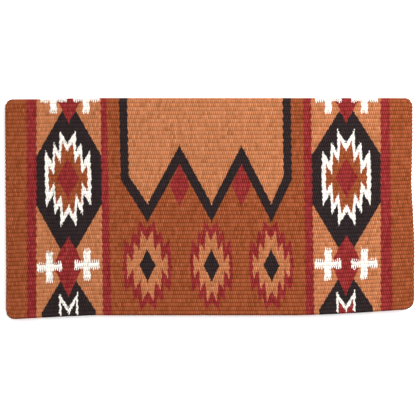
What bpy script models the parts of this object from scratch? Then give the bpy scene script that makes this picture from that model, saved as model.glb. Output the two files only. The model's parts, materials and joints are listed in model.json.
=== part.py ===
"""Wool saddle blanket, woven in tapestry and folded once across its middle.

The cloth lies flat with its fold at +Y and its hem at -Y. Every colour of the pattern is
woven with its own weft yarn, so every colour area is a solid of its own through the whole
thickness of the cloth. Both halves run round the fold and meet at its outermost line, which
the upper half turns on as the blanket is opened. X runs along the fold, Z is up, and the
origin is under the middle of the blanket.

Outlines are points (x, depth). x runs from the left edge of the cloth at the fold, and
depth runs from the outermost line of the fold towards the hem. In the pattern's outlines
depth is as drawn, before the weave stretches it to the cloth.
"""

import math

import bmesh
import bpy
from mathutils import Vector

# Cloth
LAYER_THICKNESS = 0.0077
LAYER_GAP = 0.0006
FOLDED_DEPTH = 0.4636
HEM_ROUND = 0.0034
SIDE_ROUND = 0.0026
HEM_CORNER = 0.021

# The hem hangs a little long at the left and is drawn up at the right
HEM_DROP = 0.0116
HEM_DROP_REACH = 0.162
HEM_RISE = 0.0138
HEM_RISE_REACH = 0.257
HEM_EASE = 1.5

# Fold, and the narrow slot at its heart
FOLD_SLOT_RADIUS = 0.0008
FOLD_CORNER = 0.005
FOLD_CORNER_REACH = 0.014

# Clearance between neighbouring solids, and how far a cut runs past the cloth
CLEARANCE = 0.0003
OVERRUN = 0.03

# Weft bands from left to right, each with its width at the fold and at the hem
EDGE_BAND_LEFT_AT_FOLD = 0.0458
EDGE_BAND_LEFT_AT_HEM = 0.0473
OUTER_STRIPE_LEFT_AT_FOLD = 0.0211
OUTER_STRIPE_LEFT_AT_HEM = 0.0192
COLUMN_LEFT_AT_FOLD = 0.1362
COLUMN_LEFT_AT_HEM = 0.1421
INNER_STRIPE_LEFT_AT_FOLD = 0.0128
INNER_STRIPE_LEFT_AT_HEM = 0.0181
CENTRE_AT_FOLD = 0.4185
CENTRE_AT_HEM = 0.4140
INNER_STRIPE_RIGHT_AT_FOLD = 0.0165
INNER_STRIPE_RIGHT_AT_HEM = 0.0177
COLUMN_RIGHT_AT_FOLD = 0.1486
COLUMN_RIGHT_AT_HEM = 0.1415
OUTER_STRIPE_RIGHT_AT_FOLD = 0.0187
OUTER_STRIPE_RIGHT_AT_HEM = 0.0249
EDGE_BAND_RIGHT_AT_FOLD = 0.0475
EDGE_BAND_RIGHT_AT_HEM = 0.0452

# The pattern's lengths down a column, from the fold to the hem. Their sum is the depth that
# the whole pattern is drawn for, and the weave stretches that to the depth of the cloth.
FOLD_TO_MEDALLION = 0.0280
MEDALLION_LENGTH = 0.2934
MEDALLION_TO_NEXT = 0.0666
NEXT_MEDALLION_TO_HEM = 0.0738

# The pattern of each column creeps sideways from the column's middle line as it is woven.
# Each pair is how far down the pattern, then how much of the furthest creep.
LEFT_DRIFT = -0.0032
LEFT_DRIFT_SHARES = (0, -0.45), (0.07, -0.3), (0.2, 1), (0.5, 0.3), (0.77, 0.85), (1, 0.6)
RIGHT_DRIFT = -0.0034
RIGHT_DRIFT_SHARES = (0, -0.5), (0.06, -0.3), (0.12, 0), (0.6, 0), (0.87, 1), (1, 1)

# Black medallion in each column, with a forked tip at both ends, narrower at the fold's end
MEDALLION_NOTCH = 0.0247
MEDALLION_SHOULDER_LENGTH = 0.1040
MEDALLION_FOLD_TIP_OFFSET = 0.0146
MEDALLION_TIP_OFFSET = 0.0168

# White serrated ring, rust star and red diamond inside each medallion
RING_LIFT = 0.0034
LEFT_RING_HALF_WIDTH = 0.0490
RIGHT_RING_HALF_WIDTH = 0.0523
RING_HALF_LENGTH = 0.1032
LEFT_RING_STAR_HALF_WIDTH = 0.0418
RIGHT_RING_STAR_HALF_WIDTH = 0.0440
RING_STAR_HALF_LENGTH = 0.0764
RING_DIAMOND_HALF_WIDTH = 0.0240
RING_DIAMOND_HALF_LENGTH = 0.0420

# Red diamond that links each medallion to the next one, with a cross on either side.
# The outer crosses sit a little nearer the hem, and the left column's are narrower and
# further out. The fold cuts the first crosses in half, and the left column's sit closer in.
LINK_HALF_WIDTH = 0.0272
LINK_SHOULDER_LENGTH = 0.0210
LEFT_CROSS_OFFSET = 0.0400
RIGHT_CROSS_OFFSET = 0.0386
LEFT_CROSS_HALF_WIDTH = 0.0262
CROSS_HALF_WIDTH = 0.0278
CROSS_HALF_LENGTH = 0.0306
CROSS_ARM_THICKNESS = 0.0152
CROSS_STEM_THICKNESS = 0.0143
OUTER_CROSS_DROP = 0.0024
LEFT_OUTER_FOLD_CROSS_OFFSET = 0.0336
LEFT_INNER_FOLD_CROSS_OFFSET = 0.0362

# Medallion that the hem cuts through, and the tip of the white ring in it
NEXT_MEDALLION_NOTCH = 0.0334
NEXT_MEDALLION_HALF_WIDTH = 0.0570
NEXT_SHOULDER_TO_HEM = 0.0105
HEM_SERRATION_LENGTH = 0.0474
HEM_SERRATION_NOTCH = 0.0305
HEM_SERRATION_HALF_WIDTH = 0.0200
HEM_SERRATION_WALL = 0.0044
HEM_SERRATION_SLOPE_WALL = 0.0120
HEM_SERRATION_STOP = 0.0034

# Row of stars, each set from the middle line of the centre panel. The left one came out
# widest, and the shares are the widths of all three against it.
STARS_TO_HEM = 0.1056
STAR_LEFT_OFFSET = -0.1287
STAR_MIDDLE_OFFSET = 0.0077
STAR_RIGHT_OFFSET = 0.1352
STAR_WIDTH_SHARES = (1, 0.87, 0.9)
HALO_HALF_WIDTH = 0.0518
HALO_HALF_LENGTH = 0.0940
STAR_HALF_WIDTH = 0.0438
STAR_HALF_LENGTH = 0.0724
STAR_DIAMOND_HALF_WIDTH = 0.0172
STAR_DIAMOND_HALF_LENGTH = 0.0340

# Black border line round the seat field, with a point over each star
BORDER_INSET = 0.0263
BORDER_WIDTH = 0.0175
BORDER_POINT_WIDTH = 0.0385
BORDER_PEAK_WIDTH = 0.0400
BORDER_BEND_WIDTH = 0.0080
BORDER_POINT_TO_STARS = 0.0925
BORDER_PEAK_RISE = 0.1220
BORDER_BEND_RISE = 0.0890
HANGING_DIAMOND_LENGTH = 0.0890
HANGING_DIAMOND_HALF_WIDTH = 0.0215

# One quarter of each serrated outline, from its end notch round to its side,
# as shares of its half width and half length
RING_SHARES = (
    (0, 0.72), (0.35, 0.98), (0.36, 0.55), (0.605, 0.73), (0.665, 0.33), (0.97, 0.56), (1, 0.15),
)
STAR_SHARES = (
    (0, 0.76), (0.27, 1), (0.37, 0.46), (0.63, 0.68), (0.7, 0.13), (0.98, 0.35), (1, 0),
)
HALO_SHARES = (
    (0, 0.84), (0.32, 1), (0.4, 0.7), (0.6, 0.78), (0.67, 0.45), (0.93, 0.57), (1, 0.1),
)

# How finely the round edges are faceted
ROUND_STEPS = 3
FOLD_STEPS = 6
CORNER_STEPS = 6
HEM_STATION_SHARES = (0.075, 0.13, 0.19, 0.45, 0.7, 0.77, 0.84, 0.91)
FLAT_ANGLE = math.radians(0.05)

RUST_WOOL = ("rust_wool", (0.29, 0.075, 0.03))
RED_WOOL = ("red_wool", (0.27, 0.027, 0.027))
TAN_WOOL = ("tan_wool", (0.55, 0.19, 0.08))
BLACK_WOOL = ("black_wool", (0.027, 0.018, 0.018))
WHITE_WOOL = ("white_wool", (0.93, 0.86, 0.77))

# Worked out from the sizes above
FOLD_RADIUS = LAYER_THICKNESS + LAYER_GAP / 2
FOLD_MIDDLE_Z = FOLD_RADIUS
NEXT_MEDALLION_DEPTH = FOLD_TO_MEDALLION + MEDALLION_LENGTH + MEDALLION_TO_NEXT
DRAWN_DEPTH = NEXT_MEDALLION_DEPTH + NEXT_MEDALLION_TO_HEM
MEDALLION_DEPTH = FOLD_TO_MEDALLION + MEDALLION_LENGTH / 2
LINK_DEPTH = NEXT_MEDALLION_DEPTH - MEDALLION_TO_NEXT / 2
STAR_DEPTH = DRAWN_DEPTH - STARS_TO_HEM
BORDER_POINT_DEPTH = STAR_DEPTH - BORDER_POINT_TO_STARS
BORDER_PEAK_DEPTH = BORDER_POINT_DEPTH - BORDER_PEAK_RISE
BORDER_BEND_DEPTH = BORDER_POINT_DEPTH - BORDER_BEND_RISE
STAR_OFFSETS = STAR_LEFT_OFFSET, STAR_MIDDLE_OFFSET, STAR_RIGHT_OFFSET
WIDTHS_AT_FOLD = (
    EDGE_BAND_LEFT_AT_FOLD, OUTER_STRIPE_LEFT_AT_FOLD, COLUMN_LEFT_AT_FOLD,
    INNER_STRIPE_LEFT_AT_FOLD, CENTRE_AT_FOLD, INNER_STRIPE_RIGHT_AT_FOLD,
    COLUMN_RIGHT_AT_FOLD, OUTER_STRIPE_RIGHT_AT_FOLD, EDGE_BAND_RIGHT_AT_FOLD,
)
WIDTHS_AT_HEM = (
    EDGE_BAND_LEFT_AT_HEM, OUTER_STRIPE_LEFT_AT_HEM, COLUMN_LEFT_AT_HEM,
    INNER_STRIPE_LEFT_AT_HEM, CENTRE_AT_HEM, INNER_STRIPE_RIGHT_AT_HEM,
    COLUMN_RIGHT_AT_HEM, OUTER_STRIPE_RIGHT_AT_HEM, EDGE_BAND_RIGHT_AT_HEM,
)
(
    EDGE_BAND_LEFT, OUTER_STRIPE_LEFT, COLUMN_LEFT, INNER_STRIPE_LEFT, CENTRE,
    INNER_STRIPE_RIGHT, COLUMN_RIGHT, OUTER_STRIPE_RIGHT, EDGE_BAND_RIGHT,
) = range(len(WIDTHS_AT_FOLD))


# Where the cloth lies

def mix(first, second, share):
    return first + (second - first) * share


def band_side(index, drawn_depth):
    """x of the left side of a weft band. An index past the last band gives the right edge."""
    return mix(sum(WIDTHS_AT_FOLD[:index]), sum(WIDTHS_AT_HEM[:index]), drawn_depth / DRAWN_DEPTH)


def band_middle(index, drawn_depth):
    return (band_side(index, drawn_depth) + band_side(index + 1, drawn_depth)) / 2


def drift(band, drawn_depth):
    """How far the pattern of a band has crept from the band's middle line at this depth."""
    if band == COLUMN_LEFT:
        furthest, shares = LEFT_DRIFT, LEFT_DRIFT_SHARES
    elif band == COLUMN_RIGHT:
        furthest, shares = RIGHT_DRIFT, RIGHT_DRIFT_SHARES
    else:
        return 0
    down = min(1, max(0, drawn_depth / DRAWN_DEPTH))
    for (start, first), (end, second) in zip(shares, shares[1:]):
        if down <= end:
            return furthest * mix(first, second, (down - start) / (end - start))


def cloth_sides(depth):
    """x of the cloth's left and right edge, drawn in a little where they meet the fold."""
    pull = FOLD_CORNER * max(0, 1 - depth / FOLD_CORNER_REACH) ** 2
    right = mix(sum(WIDTHS_AT_FOLD), sum(WIDTHS_AT_HEM), depth / FOLDED_DEPTH)
    return pull, right - pull


def hem_depth(x):
    """Depth of the hem at this x."""
    drop = HEM_DROP * max(0, 1 - x / HEM_DROP_REACH) ** HEM_EASE
    past = x - sum(WIDTHS_AT_HEM) + HEM_RISE_REACH
    rise = HEM_RISE * max(0, past / HEM_RISE_REACH) ** HEM_EASE
    return FOLDED_DEPTH + drop - rise


def stretched(x, drawn_depth):
    """The weave is as long at every x, so the pattern is stretched or drawn up with the hem."""
    return drawn_depth * hem_depth(x) / DRAWN_DEPTH


# Cross-sections of the cloth, as loops of (depth, z), and the solids lofted through them

def half_section(hem, side_inset):
    """Lower half, from under the hem round to the fold. side_inset rounds off the side edges."""
    low = side_inset
    high = LAYER_THICKNESS - side_inset
    hem_round = min(HEM_ROUND, (high - low) / 2)
    middle = hem - side_inset - hem_round
    loop = []
    for step in range(ROUND_STEPS + 1):
        turn = math.pi / 2 * step / ROUND_STEPS
        loop.append((middle + hem_round * math.sin(turn), low + hem_round * (1 - math.cos(turn))))
    for step in range(ROUND_STEPS + 1):
        turn = math.pi / 2 * step / ROUND_STEPS
        loop.append((middle + hem_round * math.cos(turn), high - hem_round * (1 - math.sin(turn))))
    meeting = FOLD_MIDDLE_Z - CLEARANCE / 2
    loop.append((FOLD_RADIUS, high))
    loop.append((FOLD_RADIUS - FOLD_SLOT_RADIUS - side_inset, meeting))
    radius = FOLD_RADIUS - side_inset
    for step in range(FOLD_STEPS + 1):
        turn = math.pi / 2 * (1 - step / FOLD_STEPS)
        z = min(meeting, FOLD_MIDDLE_Z - radius * math.cos(turn))
        loop.append((FOLD_RADIUS - radius * math.sin(turn), z))
    return loop


def stations():
    """Along X: functions of depth that give x, with the distance from the nearest side edge."""
    offsets = [
        HEM_CORNER * (1 - math.cos(math.pi / 2 * step / CORNER_STEPS))
        for step in range(CORNER_STEPS + 1)
    ]
    found = [(lambda depth, offset=offset: cloth_sides(depth)[0] + offset, offset) for offset in offsets]
    for share in HEM_STATION_SHARES:
        found.append((lambda depth, share=share: mix(*cloth_sides(depth), share), None))
    for offset in reversed(offsets):
        found.append((lambda depth, offset=offset: cloth_sides(depth)[1] - offset, offset))
    return found


def bevel_inset(radius, offset):
    """How far a quarter-round of this radius stands back at this distance from the edge."""
    if offset is None or offset >= radius:
        return 0
    return radius - math.sqrt(radius**2 - (radius - offset) ** 2)


def loft(section_at):
    """Rows of (x, depth, z), one row at each station."""
    rows = []
    for x_at, offset in stations():
        x_hem = x_at(FOLDED_DEPTH)
        hem = hem_depth(x_hem) - bevel_inset(HEM_CORNER, offset)
        loop = section_at(hem, bevel_inset(SIDE_ROUND, offset))
        rows.append([(x_at(depth), depth, z) for depth, z in loop])
    return rows


def turned_over(rows):
    """The same rows on the upper half: mirrored across the plane between the layers."""
    return [[(x, depth, 2 * FOLD_MIDDLE_Z - z) for x, depth, z in row] for row in rows]


LOWER_ROWS = loft(half_section)
UPPER_ROWS = turned_over(LOWER_ROWS)

ALL_X = [x for row in LOWER_ROWS for x, depth, z in row]
ALL_DEPTHS = [depth for row in LOWER_ROWS for x, depth, z in row]
MIDDLE_X = (min(ALL_X) + max(ALL_X)) / 2
MIDDLE_DEPTH = max(ALL_DEPTHS) / 2


def place(x, depth, z):
    return Vector((x - MIDDLE_X, MIDDLE_DEPTH - depth, z))


# Objects

def clear_scene():
    for obj in list(bpy.data.objects):
        bpy.data.objects.remove(obj)


def yarn(wool):
    name, colour = wool
    material = bpy.data.materials.get(name)
    if material is None:
        material = bpy.data.materials.new(name)
        material.use_nodes = True
        material.diffuse_color = (*colour, 1)
        shader = material.node_tree.nodes["Principled BSDF"]
        shader.inputs["Base Color"].default_value = (*colour, 1)
        shader.inputs["Roughness"].default_value = 0.9
        shader.inputs["Metallic"].default_value = 0
    return material


def mesh_from_rows(name, rows):
    """Closed skin through the rows, with a cap at each end."""
    mesh = bmesh.new()
    rings = [[mesh.verts.new(place(*point)) for point in row] for row in rows]
    for ring, following in zip(rings, rings[1:]):
        for index, vertex in enumerate(ring):
            mesh.faces.new((vertex, ring[index - 1], following[index - 1], following[index]))
    mesh.faces.new(rings[0])
    mesh.faces.new(rings[-1])
    bmesh.ops.triangulate(mesh, faces=mesh.faces)
    bmesh.ops.recalc_face_normals(mesh, faces=mesh.faces)
    data = bpy.data.meshes.new(name)
    mesh.to_mesh(data)
    mesh.free()
    return data


def drawn_in(outline, distance):
    """The outline with every side moved inwards. A negative distance moves them outwards."""
    points = [Vector(point) for point in outline]
    area = sum(a.cross(b) for a, b in zip(points, points[1:] + points[:1]))
    if area < 0:
        points.reverse()
    moved = []
    for index, point in enumerate(points):
        before = (point - points[index - 1]).normalized()
        after = (points[(index + 1) % len(points)] - point).normalized()
        normals = Vector((-before.y, before.x)), Vector((-after.y, after.x))
        moved.append(point + (normals[0] + normals[1]) * distance / (1 + normals[0].dot(normals[1])))
    return moved


def prism(outline, distance):
    """Upright cutter over the outline, taller than both layers."""
    mesh = bmesh.new()
    low = -OVERRUN
    high = 2 * FOLD_MIDDLE_Z + OVERRUN
    corners = [(x, stretched(x, depth)) for x, depth in drawn_in(outline, distance)]
    floor = [mesh.verts.new(place(*corner, low)) for corner in corners]
    roof = [mesh.verts.new(place(*corner, high)) for corner in corners]
    mesh.faces.new(floor)
    mesh.faces.new(roof)
    for index in range(len(corners)):
        mesh.faces.new((floor[index - 1], floor[index], roof[index], roof[index - 1]))
    bmesh.ops.recalc_face_normals(mesh, faces=mesh.faces)
    data = bpy.data.meshes.new("cutter")
    mesh.to_mesh(data)
    mesh.free()
    cutter = bpy.data.objects.new("cutter", data)
    cutter.hide_render = True
    cutter.display_type = "WIRE"
    bpy.context.collection.objects.link(cutter)
    return cutter


def merge_flats(data):
    """Joins the facets that lie in one plane, so that each flat side is one face."""
    mesh = bmesh.new()
    mesh.from_mesh(data)
    bmesh.ops.dissolve_limit(mesh, angle_limit=FLAT_ANGLE, verts=mesh.verts, edges=mesh.edges)
    mesh.to_mesh(data)
    mesh.free()


def field(name, wool, half, outline, cut_by=()):
    """A colour area: the half's cloth inside the outline, less what is woven into it."""
    data, pivot = half
    obj = bpy.data.objects.new(name, data.copy())
    obj.data.materials.append(yarn(wool))
    bpy.context.collection.objects.link(obj)
    if pivot is not None:
        obj.parent = pivot
        obj.matrix_parent_inverse = pivot.matrix_world.inverted()
    cutters = [("INTERSECT", prism(outline, CLEARANCE / 2))]
    cutters += [("DIFFERENCE", prism(inner, -CLEARANCE / 2)) for inner in cut_by]
    for operation, cutter in cutters:
        modifier = obj.modifiers.new(operation.lower(), "BOOLEAN")
        modifier.operation = operation
        modifier.solver = "EXACT"
        modifier.object = cutter
    graph = bpy.context.evaluated_depsgraph_get()
    carved = bpy.data.meshes.new_from_object(obj.evaluated_get(graph))
    obj.modifiers.clear()
    obj.data = carved
    carved.name = name
    merge_flats(carved)
    for _, cutter in cutters:
        bpy.data.objects.remove(cutter)
    return obj


# Outlines

def strip(first, last, start, end):
    """From the left side of one band to the left side of another, between two depths."""
    return [
        (band_side(first, start), start),
        (band_side(last, start), start),
        (band_side(last, end), end),
        (band_side(first, end), end),
    ]


def whole_strip(first, last):
    """The bands from the fold to the hem, run out past the cloth at its outer edges."""
    outline = strip(first, last, -OVERRUN, DRAWN_DEPTH + OVERRUN)
    if first == 0:
        outline[0] = (outline[0][0] - OVERRUN, outline[0][1])
        outline[3] = (outline[3][0] - OVERRUN, outline[3][1])
    if last == len(WIDTHS_AT_FOLD):
        outline[1] = (outline[1][0] + OVERRUN, outline[1][1])
        outline[2] = (outline[2][0] + OVERRUN, outline[2][1])
    return outline


def along_band(band, points):
    """Points (offset, depth) set from the middle line of a band, where its pattern has crept to."""
    return [
        (band_middle(band, depth) + drift(band, depth) + offset, depth) for offset, depth in points
    ]


def both_sides(points):
    """Points from an upper middle point down one side, with their mirror images."""
    return points + [(-offset, depth) for offset, depth in reversed(points) if offset != 0]


def serrated(offset, depth, half_width, half_length, shares):
    """Diamond with saw-toothed sides and a forked tip at each end."""
    quarter = [(x * half_width, y * half_length) for x, y in shares]
    side = quarter + [(x, -y) for x, y in reversed(quarter) if y != 0]
    return [(offset + x, depth - y) for x, y in both_sides(side)]


def diamond(offset, depth, half_width, half_length):
    return [
        (offset, depth - half_length),
        (offset + half_width, depth),
        (offset, depth + half_length),
        (offset - half_width, depth),
    ]


def cross(offset, depth, half_width):
    arm = CROSS_ARM_THICKNESS / 2
    stem = CROSS_STEM_THICKNESS / 2
    side = [
        (stem, -CROSS_HALF_LENGTH), (stem, -arm), (half_width, -arm),
        (half_width, arm), (stem, arm), (stem, CROSS_HALF_LENGTH),
    ]
    return [(offset + x, depth + y) for x, y in both_sides(side)]


def medallion(band):
    """Black medallion, as wide as its column between its shoulders."""
    start = FOLD_TO_MEDALLION
    end = start + MEDALLION_LENGTH
    upper = MEDALLION_DEPTH - MEDALLION_SHOULDER_LENGTH / 2
    lower = MEDALLION_DEPTH + MEDALLION_SHOULDER_LENGTH / 2
    return [
        *along_band(band, [
            (-MEDALLION_FOLD_TIP_OFFSET, start),
            (0, start + MEDALLION_NOTCH),
            (MEDALLION_FOLD_TIP_OFFSET, start),
        ]),
        (band_side(band + 1, upper), upper),
        (band_side(band + 1, lower), lower),
        *along_band(band, [
            (MEDALLION_TIP_OFFSET, end),
            (0, end - MEDALLION_NOTCH),
            (-MEDALLION_TIP_OFFSET, end),
        ]),
        (band_side(band, lower), lower),
        (band_side(band, upper), upper),
    ]


def next_medallion(band):
    """The next medallion, of which the hem leaves only the tip."""
    return along_band(band, both_sides([
        (0, NEXT_MEDALLION_DEPTH + NEXT_MEDALLION_NOTCH),
        (MEDALLION_TIP_OFFSET, NEXT_MEDALLION_DEPTH),
        (NEXT_MEDALLION_HALF_WIDTH, DRAWN_DEPTH - NEXT_SHOULDER_TO_HEM),
        (NEXT_MEDALLION_HALF_WIDTH, DRAWN_DEPTH + OVERRUN),
    ]))


def linking_diamond(band):
    """It fills the notches of both medallions, so its ends follow their forked tips."""
    start = FOLD_TO_MEDALLION + MEDALLION_LENGTH
    return along_band(band, both_sides([
        (0, start - MEDALLION_NOTCH),
        (MEDALLION_TIP_OFFSET, start),
        (LINK_HALF_WIDTH, LINK_DEPTH - LINK_SHOULDER_LENGTH / 2),
        (LINK_HALF_WIDTH, LINK_DEPTH + LINK_SHOULDER_LENGTH / 2),
        (MEDALLION_TIP_OFFSET, NEXT_MEDALLION_DEPTH),
        (0, NEXT_MEDALLION_DEPTH + NEXT_MEDALLION_NOTCH),
    ]))


def hem_serration(band):
    """Forked tip of the next white ring, stopped short of the last warp at the hem."""
    inner = HEM_SERRATION_HALF_WIDTH - HEM_SERRATION_WALL
    tip = DRAWN_DEPTH - HEM_SERRATION_LENGTH
    notch = tip + HEM_SERRATION_NOTCH
    stop = DRAWN_DEPTH - HEM_SERRATION_STOP
    slope = HEM_SERRATION_NOTCH / HEM_SERRATION_HALF_WIDTH
    return along_band(band, both_sides([
        (0, notch),
        (HEM_SERRATION_HALF_WIDTH, tip),
        (HEM_SERRATION_HALF_WIDTH, stop),
        (inner, stop),
        (inner, notch - slope * inner + HEM_SERRATION_SLOPE_WALL),
        (0, notch + HEM_SERRATION_SLOPE_WALL),
    ]))


def column_half(band, outer_is_left, is_outer):
    """Tan ground from the medallion to the hem, on one side of the column's middle line."""
    start = MEDALLION_DEPTH
    end = DRAWN_DEPTH + OVERRUN
    edge = band if outer_is_left == is_outer else band + 1
    return [
        (band_side(edge, start), start),
        (band_middle(band, start), start),
        (band_middle(band, end), end),
        (band_side(edge, end), end),
    ]


def centre_points():
    """x of the three stars and of the two peaks between them, at the depth of the stars."""
    stars = [band_middle(CENTRE, STAR_DEPTH) + offset for offset in STAR_OFFSETS]
    peaks = [(a + b) / 2 for a, b in zip(stars, stars[1:])]
    return stars, peaks


def under_seat(inset, bend_depth, point_depth, peak_depth):
    """The seat side of a line that runs down both sides and zigzags over the stars."""
    stars, peaks = centre_points()
    outline = [(band_side(CENTRE, depth) + inset, depth) for depth in (-OVERRUN, bend_depth)]
    for index, star in enumerate(stars):
        outline.append((star, point_depth))
        if index < len(peaks):
            outline.append((peaks[index], peak_depth))
    outline += [
        (band_side(CENTRE + 1, depth) - inset, depth) for depth in (bend_depth, -OVERRUN)
    ]
    return outline


# Sub-parts

def add_bands(half, prefix):
    """Rust edge bands and red stripes."""
    field(prefix + "edge_band_left", RUST_WOOL, half, whole_strip(EDGE_BAND_LEFT, OUTER_STRIPE_LEFT))
    field(prefix + "edge_band_right", RUST_WOOL, half, whole_strip(EDGE_BAND_RIGHT, EDGE_BAND_RIGHT + 1))
    for name, band in (
        ("outer_stripe_left", OUTER_STRIPE_LEFT),
        ("inner_stripe_left", INNER_STRIPE_LEFT),
        ("inner_stripe_right", INNER_STRIPE_RIGHT),
        ("outer_stripe_right", OUTER_STRIPE_RIGHT),
    ):
        field(prefix + name, RED_WOOL, half, whole_strip(band, band + 1))


def add_column(half, side, band, outer_is_left):
    """Tan column with its medallion, its crosses and what the hem cuts through."""
    black = medallion(band)
    cut_black = next_medallion(band)
    link = linking_diamond(band)
    if outer_is_left:
        outward = -1
        cross_offset, cross_half_width = LEFT_CROSS_OFFSET, LEFT_CROSS_HALF_WIDTH
        outer_fold_offset, inner_fold_offset = LEFT_OUTER_FOLD_CROSS_OFFSET, LEFT_INNER_FOLD_CROSS_OFFSET
        ring_half_width, ring_star_half_width = LEFT_RING_HALF_WIDTH, LEFT_RING_STAR_HALF_WIDTH
    else:
        outward = 1
        cross_offset, cross_half_width = RIGHT_CROSS_OFFSET, CROSS_HALF_WIDTH
        outer_fold_offset = inner_fold_offset = RIGHT_CROSS_OFFSET
        ring_half_width, ring_star_half_width = RIGHT_RING_HALF_WIDTH, RIGHT_RING_STAR_HALF_WIDTH
    crosses = {
        "outer": along_band(
            band, cross(outward * cross_offset, LINK_DEPTH + OUTER_CROSS_DROP, cross_half_width)
        ),
        "inner": along_band(band, cross(-outward * cross_offset, LINK_DEPTH, cross_half_width)),
    }
    fold_crosses = {
        "outer": along_band(band, cross(outward * outer_fold_offset, 0, CROSS_HALF_WIDTH)),
        "inner": along_band(band, cross(-outward * inner_fold_offset, 0, CROSS_HALF_WIDTH)),
    }
    field(
        f"column_{side}_fold_ground", TAN_WOOL, half,
        strip(band, band + 1, -OVERRUN, MEDALLION_DEPTH), [black, *fold_crosses.values()],
    )
    for place_name, outline in crosses.items():
        field(
            f"column_{side}_hem_ground_{place_name}", TAN_WOOL, half,
            column_half(band, outer_is_left, place_name == "outer"),
            [black, link, outline, cut_black],
        )
        field(f"cross_{side}_{place_name}", WHITE_WOOL, half, outline)
        field(f"fold_cross_{side}_{place_name}", WHITE_WOOL, half, fold_crosses[place_name])
    middle = MEDALLION_DEPTH - RING_LIFT
    ring = along_band(
        band, serrated(0, middle, ring_half_width, RING_HALF_LENGTH, RING_SHARES)
    )
    star = along_band(
        band, serrated(0, middle, ring_star_half_width, RING_STAR_HALF_LENGTH, STAR_SHARES)
    )
    heart = along_band(
        band, diamond(0, middle, RING_DIAMOND_HALF_WIDTH, RING_DIAMOND_HALF_LENGTH)
    )
    field(f"medallion_{side}", BLACK_WOOL, half, black, [ring])
    field(f"medallion_ring_{side}", WHITE_WOOL, half, ring, [star])
    field(f"medallion_star_{side}", RUST_WOOL, half, star, [heart])
    field(f"medallion_diamond_{side}", RED_WOOL, half, heart)
    field(f"linking_diamond_{side}", RED_WOOL, half, link, crosses.values())
    serration = hem_serration(band)
    field(f"hem_medallion_{side}", BLACK_WOOL, half, cut_black, [serration])
    field(f"hem_serration_{side}", WHITE_WOOL, half, serration)


def add_centre(half):
    """Seat field, the border line round it, the stars under it and the ground they lie in."""
    seat = under_seat(
        BORDER_INSET + BORDER_WIDTH,
        BORDER_BEND_DEPTH - BORDER_BEND_WIDTH,
        BORDER_POINT_DEPTH - BORDER_POINT_WIDTH,
        BORDER_PEAK_DEPTH - BORDER_PEAK_WIDTH,
    )
    border = under_seat(BORDER_INSET, BORDER_BEND_DEPTH, BORDER_POINT_DEPTH, BORDER_PEAK_DEPTH)
    stars, peaks = centre_points()
    half_length = HANGING_DIAMOND_LENGTH / 2
    hangings = [
        diamond(peak, BORDER_PEAK_DEPTH + half_length, HANGING_DIAMOND_HALF_WIDTH, half_length)
        for peak in peaks
    ]
    halos = [
        along_band(CENTRE, serrated(
            offset, STAR_DEPTH, HALO_HALF_WIDTH * share, HALO_HALF_LENGTH, HALO_SHARES
        ))
        for offset, share in zip(STAR_OFFSETS, STAR_WIDTH_SHARES)
    ]
    field("seat_field", TAN_WOOL, half, seat)
    field("border_line", BLACK_WOOL, half, border, [seat])
    field(
        "centre_ground", RUST_WOOL, half, whole_strip(CENTRE, CENTRE + 1),
        [border, *hangings, *halos],
    )
    for name, outline in zip(("left", "right"), hangings):
        field(f"hanging_diamond_{name}", RED_WOOL, half, outline)
    names = "left", "middle", "right"
    for name, offset, share, halo in zip(names, STAR_OFFSETS, STAR_WIDTH_SHARES, halos):
        star = along_band(CENTRE, serrated(
            offset, STAR_DEPTH, STAR_HALF_WIDTH * share, STAR_HALF_LENGTH, STAR_SHARES
        ))
        heart = along_band(CENTRE, diamond(
            offset, STAR_DEPTH, STAR_DIAMOND_HALF_WIDTH, STAR_DIAMOND_HALF_LENGTH
        ))
        field(f"star_halo_{name}", RED_WOOL, half, halo, [star])
        field(f"star_{name}", TAN_WOOL, half, star, [heart])
        field(f"star_diamond_{name}", BLACK_WOOL, half, heart)


def add_lower_fields(half):
    """Under side: the weft bands run on round the fold and back to the lower hem."""
    add_bands(half, "lower_")
    field("lower_column_left", TAN_WOOL, half, whole_strip(COLUMN_LEFT, COLUMN_LEFT + 1))
    field("lower_column_right", TAN_WOOL, half, whole_strip(COLUMN_RIGHT, COLUMN_RIGHT + 1))
    field("lower_centre_ground", RUST_WOOL, half, whole_strip(CENTRE, CENTRE + 1))


def add_fold_line():
    """Empty on the line that the upper half turns on, just clear of the outside of the fold."""
    pivot = bpy.data.objects.new("fold_line", None)
    bpy.context.collection.objects.link(pivot)
    pivot.location = (0, MIDDLE_DEPTH + CLEARANCE / 2, FOLD_MIDDLE_Z)
    bpy.context.view_layer.update()
    return pivot


def build():
    clear_scene()
    pivot = add_fold_line()
    add_lower_fields((mesh_from_rows("lower_cloth", LOWER_ROWS), None))
    upper_half = (mesh_from_rows("upper_cloth", UPPER_ROWS), pivot)
    add_bands(upper_half, "")
    add_column(upper_half, "left", COLUMN_LEFT, True)
    add_column(upper_half, "right", COLUMN_RIGHT, False)
    add_centre(upper_half)


build()
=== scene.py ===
"""Thick wool saddle blanket, folded once across its middle and lying flat.

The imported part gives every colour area's place. Here each area is woven as it is in the real
cloth, from floats of wool weft that pass over one warp at a time and form the ribs.
"""

import json
import math

import bpy
import numpy as np
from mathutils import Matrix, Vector
from mathutils.bvhtree import BVHTree


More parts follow.
